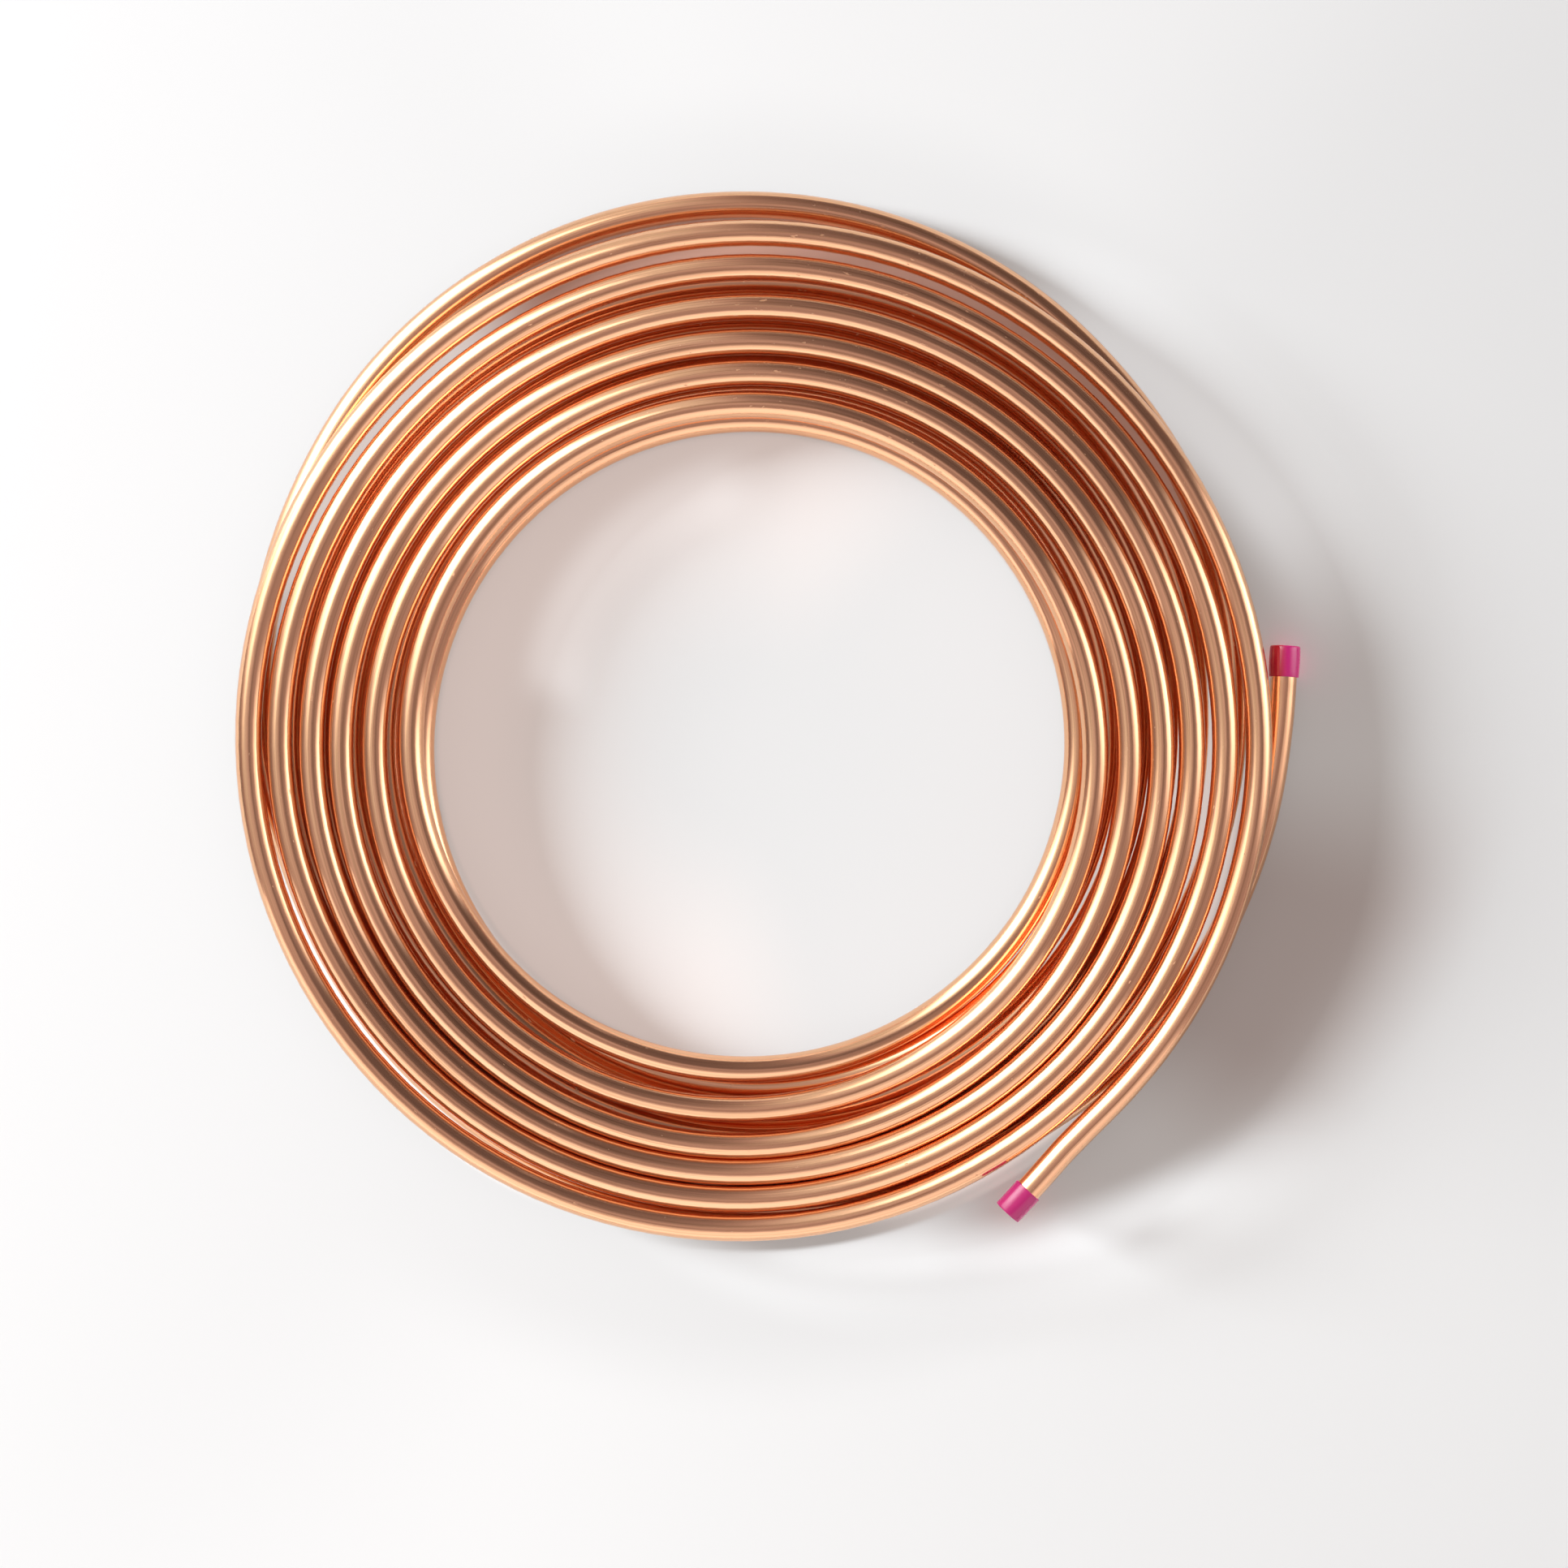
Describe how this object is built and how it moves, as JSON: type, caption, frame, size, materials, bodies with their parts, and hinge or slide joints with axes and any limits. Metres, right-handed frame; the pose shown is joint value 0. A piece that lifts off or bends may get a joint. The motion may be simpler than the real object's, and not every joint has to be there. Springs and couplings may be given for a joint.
{
  "type": "copper tube coil",
  "caption": "Flat two-layer coil of bright soft copper tube, both ends on the outside, each closed by a push-on plastic cap.",
  "frame": {"origin": "centre of the coil's bounding box, on the plane that it lies on", "axes": "+Z along the coil's axis, up, out of the face the picture shows; +X and +Y are right and up in that view, so the free ends are at +X"},
  "size_m": [0.5139, 0.5082, 0.0265],
  "materials": {
    "copper": null,
    "cap_plastic": "semi-gloss pink plastic, slightly translucent"
  },
  "bodies": {
    "root": {"tube_coil": "copper", "end_cap_upper": "cap_plastic", "end_cap_lower": "cap_plastic"}
  },
  "joints": []
}
